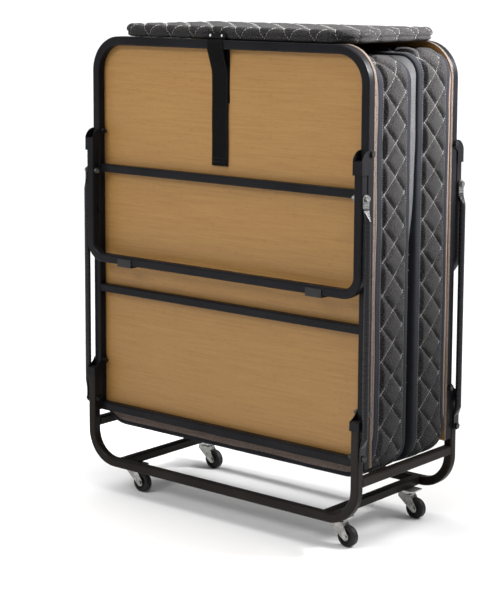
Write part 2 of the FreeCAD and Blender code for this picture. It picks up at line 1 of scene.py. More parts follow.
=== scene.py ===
import bmesh
import bpy
import json
import math
import numpy as np
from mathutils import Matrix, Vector


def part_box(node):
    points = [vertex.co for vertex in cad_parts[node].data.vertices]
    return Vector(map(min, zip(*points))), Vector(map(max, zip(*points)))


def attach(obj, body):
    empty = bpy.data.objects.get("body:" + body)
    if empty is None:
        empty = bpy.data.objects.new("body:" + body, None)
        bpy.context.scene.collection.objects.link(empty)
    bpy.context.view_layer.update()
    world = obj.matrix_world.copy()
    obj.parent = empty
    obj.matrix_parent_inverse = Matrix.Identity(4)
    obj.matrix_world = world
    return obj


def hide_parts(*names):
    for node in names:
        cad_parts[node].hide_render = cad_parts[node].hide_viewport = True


# Folding cot, folded and standing on its casters. Metres, +X to the cot's right, front bed half at -Y.
# The tubes, boards, casters and fasteners are the CAD's own solids with procedural materials; the mattress
# halves, headboard pad and strap are built here.

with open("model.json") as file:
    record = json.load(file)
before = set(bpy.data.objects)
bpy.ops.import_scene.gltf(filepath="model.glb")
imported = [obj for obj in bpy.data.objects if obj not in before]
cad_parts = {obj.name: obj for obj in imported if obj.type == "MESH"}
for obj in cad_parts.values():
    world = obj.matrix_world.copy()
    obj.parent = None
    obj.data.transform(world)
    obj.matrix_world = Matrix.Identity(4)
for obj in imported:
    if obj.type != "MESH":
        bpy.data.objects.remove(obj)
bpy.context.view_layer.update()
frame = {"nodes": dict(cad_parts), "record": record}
MM = 0.001


# ---------------------------------------------------------------- materials

class Look:
    """A node material with one Principled shader. Each method adds a node and returns its output."""

    def __init__(self, name, color=(0.5, 0.5, 0.5), roughness=0.5, metallic=0.0, **sockets):
        self.material = bpy.data.materials.new(name)
        self.material.use_nodes = True
        self.tree = self.material.node_tree
        self.shader = next(n for n in self.tree.nodes if n.type == "BSDF_PRINCIPLED")
        self.set("Base Color", (*color, 1.0))
        self.set("Roughness", roughness)
        self.set("Metallic", metallic)
        for socket, value in sockets.items():
            self.set(socket.replace("_", " "), value)

    def set(self, socket, value):
        if isinstance(value, bpy.types.NodeSocket):
            self.tree.links.new(value, self.shader.inputs[socket])
        else:
            self.shader.inputs[socket].default_value = value

    def node(self, kind, inputs=(), **settings):
        node = self.tree.nodes.new(kind)
        for key, value in settings.items():
            setattr(node, key, value)
        for key, value in dict(inputs).items():
            if isinstance(value, bpy.types.NodeSocket):
                self.tree.links.new(value, node.inputs[key])
            else:
                node.inputs[key].default_value = value
        return node

    def position(self, stretch=(1, 1, 1)):
        """The point on the piece at rest, in metres, times stretch."""
        source = self.node("ShaderNodeTexCoord").outputs["Object"]
        return self.node("ShaderNodeMapping", {"Vector": source, "Scale": stretch}).outputs["Vector"]

    def cloth(self, stretch=(1, 1, 1), turn=0.0):
        """The place on the flat cloth, in metres, times stretch."""
        source = self.node("ShaderNodeUVMap", uv_map="cloth").outputs["UV"]
        mapping = {"Vector": source, "Scale": stretch, "Rotation": (0, 0, turn)}
        return self.node("ShaderNodeMapping", mapping).outputs["Vector"]

    def axis(self, vector, name):
        return self.node("ShaderNodeSeparateXYZ", {"Vector": vector}).outputs[name]

    def noise(self, vector, scale, detail=2.0, rough=0.5):
        inputs = {"Vector": vector, "Scale": scale, "Detail": detail, "Roughness": rough}
        return self.node("ShaderNodeTexNoise", inputs).outputs["Fac"]

    def cells(self, vector, scale, output="Distance", feature="F1"):
        node = self.node("ShaderNodeTexVoronoi", {"Vector": vector, "Scale": scale}, feature=feature)
        return node.outputs[output]

    def bands(self, vector, scale, direction="X", distortion=0.0):
        inputs = {"Vector": vector, "Scale": scale, "Distortion": distortion, "Detail": 1.0}
        return self.node("ShaderNodeTexWave", inputs, bands_direction=direction).outputs["Fac"]

    def math(self, operation, a, b=0.0):
        return self.node("ShaderNodeMath", {0: a, 1: b}, operation=operation).outputs["Value"]

    def between(self, value, low, high, to_low=0.0, to_high=1.0):
        inputs = {"Value": value, "From Min": low, "From Max": high, "To Min": to_low, "To Max": to_high}
        return self.node("ShaderNodeMapRange", inputs).outputs["Result"]

    def ramp(self, value, *stops):
        """Colours by value: stops are (place, (r, g, b))."""
        node = self.node("ShaderNodeValToRGB", {"Fac": value})
        elements = node.color_ramp.elements
        while len(elements) < len(stops):
            elements.new(0.5)
        for element, (place, color) in zip(elements, stops):
            element.position, element.color = place, (*color, 1.0)
        return node.outputs["Color"]

    def mix(self, share, a, b):
        """Colour a where share is 0 and b where it is 1."""
        node = self.node("ShaderNodeMix", data_type="RGBA")
        sockets = {"Factor": share, "A": a, "B": b}
        for socket in node.inputs:
            if socket.enabled and socket.name in sockets:
                value = sockets[socket.name]
                if isinstance(value, bpy.types.NodeSocket):
                    self.tree.links.new(value, socket)
                else:
                    socket.default_value = (*value, 1.0) if isinstance(value, tuple) else value
        return next(s for s in node.outputs if s.enabled)

    def bump(self, height, depth, below=None):
        """A surface that rises by depth metres where height is 1."""
        inputs = {"Height": height, "Distance": depth, "Strength": 1.0}
        if below is not None:
            inputs["Normal"] = below
        normal = self.node("ShaderNodeBump", inputs).outputs["Normal"]
        self.set("Normal", normal)
        return normal


def painted_tube(name, color, worn):
    """Satin stove enamel with faint orange peel and a little dust."""
    look = Look(name, color, 0.34, Specular_IOR_Level=0.05, Coat_Weight=0.07, Coat_Roughness=0.10)
    here = look.position()
    patches = look.noise(here, 9.0, 3.0)
    look.set("Base Color", look.ramp(patches, (0.35, color), (0.75, worn)))
    fine = look.noise(here, 420.0, 2.0)
    look.set("Roughness", look.between(look.noise(here, 30.0, 4.0), 0.3, 0.7, 0.27, 0.42))
    look.bump(fine, 0.00006)
    return look.material


LINK_EYE_HEIGHT = 0.830            # where the fold links and legs are bolted together


def near_link_eye(look, reach):
    """1 within reach of the height of the upper link eyes, with a ragged border, and 0 elsewhere."""
    here = look.position()
    away = look.math("ABSOLUTE", look.math("SUBTRACT", look.axis(here, "Z"), LINK_EYE_HEIGHT))
    ragged = look.between(look.noise(here, 160.0, 3.0), 0.3, 0.7, -2 * MM, 2 * MM)
    return look.math("LESS_THAN", look.math("ADD", away, ragged), reach)


def fold_link_look():
    """Black enamel on the rod, bare zinc where its upper end is pressed flat."""
    paint = (0.008, 0.008, 0.010)
    look = Look("fold_link_enamel", paint, 0.32, Specular_IOR_Level=0.2)
    bare = near_link_eye(look, 0.022)
    scratches = look.noise(look.position((1, 1, 8)), 60.0, 4.0)
    metal = look.ramp(scratches, (0.3, (0.09, 0.09, 0.09)), (0.7, (0.34, 0.34, 0.335)))
    look.set("Base Color", look.mix(bare, paint, metal))
    look.set("Metallic", bare)
    look.set("Roughness", look.between(scratches, 0.2, 0.8, 0.20, 0.34))
    look.bump(look.noise(look.position(), 380.0, 2.0), 0.00006)
    return look.material


def bolt_look():
    """Black oxide on the pivot bolts and nuts, bright zinc on those through the upper link eyes."""
    look = Look("bolts", (0.1, 0.1, 0.1), 0.35, 1.0)
    here = look.position()
    bright = near_link_eye(look, 0.030)
    cloud = look.noise(here, 220.0, 3.0)
    black = look.ramp(cloud, (0.35, (0.020, 0.020, 0.022)), (0.75, (0.085, 0.082, 0.080)))
    zinc = look.ramp(cloud, (0.3, (0.12, 0.12, 0.12)), (0.7, (0.34, 0.34, 0.33)))
    look.set("Base Color", look.mix(bright, black, zinc))
    look.set("Roughness", look.between(cloud, 0.3, 0.7, 0.26, 0.40))
    look.bump(look.noise(here, 700.0, 2.0), 0.00005)
    return look.material


def zinc_look(name, low, high, roughness):
    """Bright zinc plate with cloudy patches and fine scratches."""
    look = Look(name, high, roughness, 1.0)
    here = look.position()
    cloud = look.noise(here, 70.0, 4.0)
    look.set("Base Color", look.ramp(cloud, (0.3, low), (0.65, high)))
    look.set("Roughness", look.between(look.noise(look.position((1, 9, 1)), 180.0, 3.0), 0.25, 0.75,
                                       roughness - 0.07, roughness + 0.09))
    look.bump(look.noise(here, 650.0, 3.0), 0.00005)
    return look.material


def board_look():
    """Beech-pattern laminate on the faces, with bare chipboard at the edges, the chipboard colour darkened as
    painted shade.
    """
    look = Look("beech_laminate", roughness=0.42, Specular_IOR_Level=0.30)
    grain_place = look.position((1.0, 1.0, 26.0))
    broad = look.noise(look.position((0.6, 1.0, 5.0)), 3.2, 3.0)
    streaks = look.noise(grain_place, 7.0, 5.0, 0.62)
    flecks = look.noise(look.position((14.0, 14.0, 150.0)), 4.0, 2.0)
    base = look.ramp(streaks, (0.25, (0.210, 0.105, 0.0285)), (0.5, (0.250, 0.132, 0.039)),
                     (0.78, (0.286, 0.158, 0.0505)))
    base = look.mix(look.between(broad, 0.3, 0.75, 0.0, 0.35), base, (0.278, 0.153, 0.0485))
    base = look.mix(look.between(flecks, 0.60, 0.70, 0.0, 0.42), base, (0.138, 0.062, 0.016))
    chips = look.cells(look.position((1, 1, 1)), 330.0, "Color")
    # raw chipboard speckle on the board edges, partly real and partly painted shade: kept far darker than
    # bare chipboard
    chipboard_with_painted_shade = look.ramp(look.axis(chips, "X"), (0.0, (0.028, 0.019, 0.015)), (0.35, (0.055, 0.041, 0.034)),
                     (1.0, (0.090, 0.070, 0.060)))
    normal = look.node("ShaderNodeTexCoord").outputs["Normal"]
    on_edge = look.math("LESS_THAN", look.math("ABSOLUTE", look.axis(normal, "Y")), 0.7)
    look.set("Base Color", look.mix(on_edge, base, chipboard_with_painted_shade))
    look.set("Roughness", look.math("ADD", look.between(streaks, 0.3, 0.7, 0.38, 0.48),
                                    look.math("MULTIPLY", on_edge, 0.4)))
    here = look.position()
    relief = look.math("ADD", look.math("MULTIPLY", flecks, 0.3),
                       look.math("MULTIPLY", on_edge, look.cells(here, 330.0)))
    look.bump(look.math("ADD", relief, look.math("MULTIPLY", look.noise(here, 500.0, 2.0), 0.1)), 0.0001)
    return look.material


def plywood_look():
    look = Look("plywood", roughness=0.7)
    layers = look.bands(look.position(), 180.0, "Z")
    look.set("Base Color", look.mix(layers, (0.50, 0.35, 0.20), (0.66, 0.50, 0.32)))
    look.bump(look.noise(look.position((1, 20, 1)), 20.0, 4.0), 0.0002)
    return look.material


def woven_look(name, dark, light, thread, depth, sheen, twill=0.0, melange=0.0):
    """Woven cloth: threads crossing at the given spacing in two shades, with flecks of thicker yarn."""
    look = Look(name, roughness=0.92, Specular_IOR_Level=0.06, Sheen_Weight=sheen, Sheen_Roughness=0.45)
    turn = math.radians(twill)
    bands = 0.314 / thread                     # a band scale of 0.314 repeats once a metre
    across = look.bands(look.cloth(turn=turn), bands, "X")
    along = look.bands(look.cloth(turn=turn), bands, "Y")
    weave = look.math("MULTIPLY", across, along)
    fibre = look.noise(look.cloth(), 0.9 / thread, 4.0, 0.7)
    patch = look.noise(look.position(), 16.0, 3.0)
    fleck = look.noise(look.cloth((1.0, 1.7, 1.0)), 0.36 / thread, 2.0, 0.6)
    shade = look.math("ADD", look.math("MULTIPLY", weave, 0.25),
                      look.math("ADD", look.math("MULTIPLY", fibre, 0.6), look.math("MULTIPLY", patch, 0.15)))
    shade = look.math("ADD", shade, look.between(fleck, 0.35, 0.65, -melange, melange))
    look.set("Base Color", look.ramp(shade, (0.25, dark), (0.62, light)))
    look.bump(look.math("ADD", weave, fibre), depth)
    return look.material


def felt_look():
    """Pinkish needle felt with dark and light flecks."""
    look = Look("underside_felt", roughness=0.95, Specular_IOR_Level=0.12, Sheen_Weight=0.1)
    here = look.position()
    fibre = look.noise(here, 700.0, 5.0, 0.7)
    flecks = look.cells(here, 420.0, "Color")
    base = look.ramp(fibre, (0.3, (0.080, 0.059, 0.050)), (0.7, (0.150, 0.115, 0.099)))
    speck = look.math("GREATER_THAN", look.axis(flecks, "Y"), 0.86)
    look.set("Base Color", look.mix(look.math("MULTIPLY", speck, 0.7), base, (0.060, 0.036, 0.029)))
    look.bump(fibre, 0.0007)
    return look.material


def thread_look(name, dark, light):
    look = Look(name, light, 0.75, Specular_IOR_Level=0.15)
    twist = look.noise(look.position(), 900.0, 3.0)
    look.set("Base Color", look.ramp(twist, (0.3, dark), (0.7, light)))
    look.bump(twist, 0.0003)
    return look.material


def plastic_look(name, color, roughness, grain):
    look = Look(name, color, roughness, Specular_IOR_Level=0.25)
    here = look.position()
    worn = look.noise(here, 60.0, 3.0)
    look.set("Roughness", look.between(worn, 0.3, 0.7, roughness - 0.06, roughness + 0.1))
    look.bump(look.noise(here, grain, 2.0), 0.00008)
    return look.material


FRAME_PAINT = painted_tube("frame_enamel", (0.0050, 0.0050, 0.0062), (0.0085, 0.0085, 0.0098))
BASE_PAINT = painted_tube("base_enamel", (0.0100, 0.0078, 0.0070), (0.017, 0.0135, 0.0120))
LINK_PAINT = fold_link_look()
BOLTS = bolt_look()
ZINC = zinc_look("zinc_plate", (0.42, 0.42, 0.41), (0.66, 0.65, 0.63), 0.30)
CASTER_ZINC = zinc_look("caster_zinc", (0.20, 0.198, 0.19), (0.42, 0.415, 0.40), 0.26)
BOARD = board_look()
PLYWOOD = plywood_look()
QUILT = woven_look("quilted_cover", (0.0045, 0.0043, 0.0043), (0.0405, 0.0388, 0.0395), 0.0011, 0.0003, 0.03,
                   melange=0.32)
TAPE = woven_look("binding_tape", (0.006, 0.0063, 0.0085), (0.019, 0.0200, 0.0245), 0.0008, 0.0002, 0.03,
                  twill=45.0)
TICKING = woven_look("sleeping_side", (0.28, 0.28, 0.285), (0.50, 0.50, 0.505), 0.0016, 0.0005, 0.05,
                     melange=0.1)
WEBBING = woven_look("strap_webbing", (0.002, 0.002, 0.002), (0.0065, 0.0063, 0.0066), 0.0017, 0.0004, 0.0)
HOOK_TAPE = woven_look("hook_tape", (0.002, 0.002, 0.003), (0.007, 0.007, 0.009), 0.0012, 0.0006, 0.0)
THREAD = thread_look("quilting_thread", (0.19, 0.185, 0.18), (0.33, 0.325, 0.315))
DARK_THREAD = thread_look("binding_thread", (0.14, 0.14, 0.145), (0.26, 0.26, 0.27))
WEB_THREAD = thread_look("strap_thread", (0.012, 0.012, 0.013), (0.028, 0.028, 0.030))
FELT = felt_look()
FOOT_PLASTIC = plastic_look("foot_plastic", (0.012, 0.012, 0.013), 0.48, 900.0)
WHEEL_RUBBER = plastic_look("wheel_rubber", (0.011, 0.011, 0.011), 0.50, 700.0)

SLOT_LOOKS = {
    "frame_paint": FRAME_PAINT, "base_paint": BASE_PAINT, "link_paint": LINK_PAINT, "zinc": ZINC,
    "beech_board": BOARD, "plywood": PLYWOOD, "quilted_fabric": QUILT, "webbing": WEBBING,
    "black_plastic": FOOT_PLASTIC, "wheel_rubber": WHEEL_RUBBER}

for part in frame["record"]["subparts"]:
    look = SLOT_LOOKS[part["material_slot"]]
    if part["node"].endswith(("caster_fork", "caster_axle")):
        look = CASTER_ZINC
    elif part["node"].endswith(("_bolts", "_nuts")):
        look = BOLTS
    node = frame["nodes"][part["node"]]
    node.data.materials.clear()
    node.data.materials.append(look)


# ---------------------------------------------------------------- cushions

# length, width and height of one stitch, and the way from each to the next
QUILT_STITCH, QUILT_STITCH_PITCH = (0.0065, 0.0012, 0.0009), 0.0066
BINDING_STITCH, BINDING_STITCH_PITCH = (0.0045, 0.0009, 0.0006), 0.0058
SLEEPING_STITCH, SLEEPING_STITCH_PITCH = (0.0066, 0.0012, 0.0008), 0.0080
STRAP_STITCH = (0.0030, 0.0009, 0.0005)


class RoundedLoop:
    """A rounded rectangle in the plane, followed anticlockwise from the middle of its low side. Its two high
    corners can have a radius of their own."""

    def __init__(self, half_u, half_v, radius, middle=(0.0, 0.0), high_radius=None):
        self.half_u, self.half_v, self.radius, self.middle = half_u, half_v, radius, np.array(middle)
        self.high_radius = high = high_radius or radius
        low_u, high_u, low_v, high_v = half_u - radius, half_u - high, radius - half_v, half_v - high
        side, low_bend, high_bend = high_v - low_v, math.pi * radius / 2, math.pi * high / 2
        # each run: its length, where it starts, its heading in quarter turns, and the radius of its bend or 0
        self.runs = [(low_u, (0, -half_v), 0, 0), (low_bend, (low_u, -half_v), 0, radius)]
        self.runs += [(side, (half_u, low_v), 1, 0), (high_bend, (half_u, high_v), 1, high)]
        self.runs += [(2 * high_u, (high_u, half_v), 2, 0), (high_bend, (-high_u, half_v), 2, high)]
        self.runs += [(side, (-half_u, high_v), 3, 0), (low_bend, (-half_u, low_v), 3, radius)]
        self.runs += [(low_u, (-low_u, -half_v), 4, 0)]
        self.length = sum(run[0] for run in self.runs)

    def at(self, along):
        """Points on the loop and the outward normals there."""
        left = np.mod(np.asarray(along, float), self.length)
        points, normals = np.zeros((len(left), 2)), np.zeros((len(left), 2))
        begin = 0.0
        for length, start, quarters, radius in self.runs:
            here = (left >= begin) & (left <= begin + length)
            walked = left[here] - begin
            heading = quarters * math.pi / 2 + (walked / radius if radius else 0 * walked)
            normals[here] = np.stack([np.sin(heading), -np.cos(heading)], 1)
            forward = np.array([math.cos(quarters * math.pi / 2), math.sin(quarters * math.pi / 2)])
            if radius:
                centre = np.array(start) + np.array([-forward[1], forward[0]]) * radius
                points[here] = centre + normals[here] * radius
            else:
                points[here] = np.array(start) + walked[:, None] * forward
            begin += length
        return points + self.middle, normals

    def inside(self, points):
        """How far each point is inside the loop."""
        radius = np.where(points[:, 1] > self.middle[1], self.high_radius, self.radius)
        corner = np.stack([self.half_u - radius, self.half_v - radius], 1)
        q = np.abs(points - self.middle) - corner
        outside = np.linalg.norm(np.maximum(q, 0), axis=1)
        return radius - outside - np.minimum(np.max(q, axis=1), 0)

    def spine(self, points):
        """The nearest point to each on the line that the loop shrinks to."""
        reach = np.array([max(self.half_u - self.half_v, 0.0), max(self.half_v - self.half_u, 0.0)])
        return self.middle + np.clip(points - self.middle, -reach, reach)


def smooth(x, low, high):
    t = np.clip((x - low) / (high - low), 0, 1)
    return t * t * (3 - 2 * t)


def ripple(u, v, seed):
    """Smooth unevenness between -1 and 1, the same every run."""
    rng = np.random.default_rng(seed)
    total = np.zeros(np.broadcast(u, v).shape)
    for _ in range(9):
        angle, phase = rng.uniform(0, 2 * math.pi, 2)
        wave = rng.uniform(0.6, 1.7)
        total = total + np.sin((u * math.cos(angle) + v * math.sin(angle)) * wave + phase)
    return total / 4.5


class Quilting:
    """Stitched diamonds: how far the cloth stands out, from its place (u, v) on the flat."""

    CREASE, CREASE_POWER = 5.4 * MM, 1.1           # how far beside a stitch line the cloth is pulled down
    PUCKER, PUCKER_WAVE = 0.10, 1.45 * MM          # share of the height, and the folds' size along the line
    PUCKER_START, PUCKER_END = 1.5 * MM, 4.5 * MM  # where they grow and fade, from the line
    DRIFT, DRIFT_SIZE = 0.11, 0.019                # how unlike each other the diamonds are

    def __init__(self, pitch_u, pitch_v, node, height, seed):
        self.pitch, self.node, self.height, self.seed = np.array([pitch_u, pitch_v]), node, height, seed
        self.spacing = pitch_u * pitch_v / math.hypot(pitch_u, pitch_v)

    def families(self, u, v):
        """Places across the two sets of parallel stitch lines, which lie at the whole numbers."""
        a, b = (u - self.node[0]) / self.pitch[0], (v - self.node[1]) / self.pitch[1]
        return a + b, a - b

    def rise(self, u, v):
        """Full in the middle of each diamond, creased at the stitches and puckered beside them."""
        first, second = self.families(u, v)
        off = [np.abs(f - np.round(f)) * self.spacing for f in (first, second)]
        full = np.ones_like(off[0])
        for distance in off:
            full = full * (1 - np.exp(-(distance / self.CREASE) ** self.CREASE_POWER))
        near = np.minimum(*off)
        run = np.where(off[0] < off[1], second, first) * self.spacing
        pucker = np.sin(run / self.PUCKER_WAVE + 2.5 * ripple(u / 0.02, v / 0.02, self.seed))
        pucker = pucker * np.exp(-near / self.PUCKER_END) * (1 - np.exp(-near / self.PUCKER_START))
        drift = self.DRIFT * ripple(u / self.DRIFT_SIZE, v / self.DRIFT_SIZE, self.seed + 1)
        return self.height * (full * (1 + drift) + self.PUCKER * pucker)

    def stitches(self, low, high, pitch):
        """The centre of each stitch inside the box from low to high, and the way it runs, as (u, v) pairs."""
        low, high = np.array(low), np.array(high)
        found = []
        corners = np.array([[x, y] for x in (low[0], high[0]) for y in (low[1], high[1])])
        reach = self.families(corners[:, 0], corners[:, 1])
        for sign, family in zip((1, -1), reach):
            way = self.pitch * np.array([1, -sign])
            way = way / np.linalg.norm(way)
            for number in range(math.floor(family.min()), math.ceil(family.max()) + 1):
                start = np.array(self.node) + np.array([number * self.pitch[0], 0.0])
                span = (high - low).sum() * 2
                steps = np.arange(-span, span, pitch)
                here = start + steps[:, None] * way
                keep = np.all((here > low) & (here < high), axis=1)
                found += [(p, way) for p in here[keep]]
        return found


def link_piece(name, mesh, looks, body):
    for look in looks:
        mesh.materials.append(look)
    piece = bpy.data.objects.new(name, mesh)
    bpy.context.collection.objects.link(piece)
    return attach(piece, body)


def skin(name, rings, strips, looks, body):
    """A closed skin through rings of equally many points. A ring is (points, places on the edge cloth, places
    on the face cloth), its places having the first one again at the end. A strip is (look, which places)."""
    count = len(rings[0][0])
    here, there = np.arange(count), np.arange(1, count + 1)
    faces, places, looks_used = [], [], []
    for number, (look, kind) in enumerate(strips):
        low, high = number * count, (number + 1) * count
        faces.append(np.stack([low + here, low + there % count, high + there % count, high + here], 1))
        a, b = rings[number][kind], rings[number + 1][kind]
        places.append(np.stack([a[here], a[there], b[there], b[here]], 1))
        looks_used += [look] * count
    mesh = bpy.data.meshes.new(name)
    mesh.from_pydata(np.concatenate([ring[0] for ring in rings]).tolist(), [], np.concatenate(faces).tolist())
    mesh.uv_layers.new(name="cloth").data.foreach_set("uv", np.concatenate(places).astype(np.float32).ravel())
    mesh.polygons.foreach_set("material_index", looks_used)
    mesh.polygons.foreach_set("use_smooth", [True] * len(looks_used))
    shape = bmesh.new()
    shape.from_mesh(mesh)
    bmesh.ops.remove_doubles(shape, verts=shape.verts, dist=0.2 * MM)
    bmesh.ops.recalc_face_normals(shape, faces=shape.faces)
    shape.to_mesh(mesh)
    shape.free()
    return link_piece(name, mesh, looks, body)


def stitching(name, spots, ahead, normals, size, look, body):
    """Short raised threads at the spots, each lying along the line to the point ahead of it."""
    length, width, height = size
    along = ahead - spots
    along /= np.linalg.norm(along, axis=1)[:, None]
    across = np.cross(normals, along)
    ends = 0.34                    # where a thread starts to taper, as a share of its length
    shape = [(-0.5, 0, -0.5), (-ends, 0.5, 0), (-ends, 0, 0.9), (-ends, -0.5, 0), (-ends, 0, -0.6),
             (ends, 0.5, 0), (ends, 0, 0.9), (ends, -0.5, 0), (ends, 0, -0.6), (0.5, 0, -0.5)]
    quads = [(1, 5, 6, 2), (2, 6, 7, 3), (3, 7, 8, 4), (4, 8, 5, 1)]
    tips = [(0, 1, 2), (0, 2, 3), (0, 3, 4), (0, 4, 1), (9, 6, 5), (9, 7, 6), (9, 8, 7), (9, 5, 8)]
    points = np.stack([spots + along * a * length + across * b * width + normals * c * height
                       for a, b, c in shape], 1)
    faces = [[corner + number * len(shape) for corner in face]
             for number in range(len(spots)) for face in quads + tips]
    mesh = bpy.data.meshes.new(name)
    mesh.from_pydata(points.reshape(-1, 3).tolist(), [], faces)
    mesh.polygons.foreach_set("use_smooth", [True] * len(faces))
    return link_piece(name, mesh, [look], body)


class Cushion:
    """A slab with rounded edges: a loop in its plane and a height h across its thickness."""

    def __init__(self, loop, thickness, corner, to_frame):
        self.loop, self.thickness, self.corner, self.to_frame = loop, thickness, corner, to_frame
        self.quarter = math.pi * corner / 2
        self.far = 2 * self.quarter + thickness - 2 * corner      # along the skin from one face to the other

    def edge(self, along, across, out):
        """Points at distances along the loop and across its edge from the low face, and the normals there."""
        point, normal = self.loop.at(along)
        return self.edge_at(point, normal, across, out)

    def edge_at(self, point, normal, across, out):
        """The same from points of the loop and its outward normals. out is how far the skin stands out."""
        bend = np.clip(across / self.corner, 0, math.pi / 2)
        last = across - self.far + self.quarter
        bend = np.where(last > 0, np.clip(last / self.corner, 0, math.pi / 2), bend - math.pi / 2)
        flat = np.minimum(across, 0) - np.maximum(across - self.far, 0)
        reach = self.corner * (np.cos(bend) - 1) + flat
        height = np.clip(across - self.quarter, 0, self.thickness - 2 * self.corner) + self.corner
        height = height + self.corner * np.sin(bend)
        plane = point + normal * (reach + out * np.cos(bend))[:, None]
        tilt = np.stack([normal[:, 0] * np.cos(bend), normal[:, 1] * np.cos(bend), np.sin(bend)], 1)
        return plane, height + out * np.sin(bend), tilt

    def in_frame(self, plane, height):
        """Points in the shared frame, from places in the slab's plane and heights above its low face."""
        return self.to_frame(plane[:, 0], plane[:, 1], height)

    def directions(self, tilt):
        """Unit vectors in the shared frame, from the slab's own."""
        ways = self.to_frame(tilt[:, 0], tilt[:, 1], tilt[:, 2])
        ways = ways - self.to_frame(np.zeros(1), np.zeros(1), np.zeros(1))
        return ways / np.linalg.norm(ways, axis=1)[:, None]


def between_knots(knots, counts):
    """Values across the edge, in even steps from each knot to the next. A knot is one value per point."""
    rows = []
    for low, high, count in zip(knots, knots[1:], counts):
        rows += [low + (high - low) * k / count for k in range(count)]
    return rows + [knots[-1]]


# ---------------------------------------------------------------- mattress halves

MATTRESS_THICK = 0.138
MATTRESS_CORNER, MATTRESS_TOP_CORNER = 0.076, 0.052
TOP_DROP = {"front": 0.018, "rear": 0.005}     # from the CAD solid's top to the cover's
BOARD_FACE = 0.150                 # the board's mattress side, from the middle of the cot
EDGE_ROUND = 0.007
BORDER_FROM, BORDER_TO = 0.0300, 0.1200        # the quilted border, across the edge from the board side
BINDING_FROM, BINDING, INNER_BINDING = 0.0108, 0.020, 0.0245
# how far a binding wanders, and the heights between which it comes to do so
LOW_WANDER, HIGH_WANDER, SIDE_WANDER = (0.0150, 0.20, 0.29), (0.006, 1.02, 1.14), (0.014, 0.66, 0.86)
BINDING_BULGE, BINDING_SEAM = 0.0016, 0.0028   # and how far its stitches are in from its edges
BOARD_FACE_EDGE = 0.030            # how far the skin of the edge goes on over the board's face
QUILT_PITCH = (0.079, 0.0762)
BORDER_NODE_Z, SLEEPING_NODE = 1.100, (0.0, 0.66)          # where stitch lines cross
SEEDS = {"front": (11, 23), "rear": (17, 29)}              # for the border and the sleeping side
MATTRESS_STEP = 0.0066             # two faces of the mesh along the edge
MEETING_CUT, MEETING_FROM, MEETING_TO = 0.76, 0.180, 0.235 # the border's flatter part, by height
BORDER_RISE, BORDER_BULGE = 0.0092, 0.0030     # the border's puffs, and the filling's push in its middle
SLEEPING_RISE, CROWN = 0.0048, 0.0052


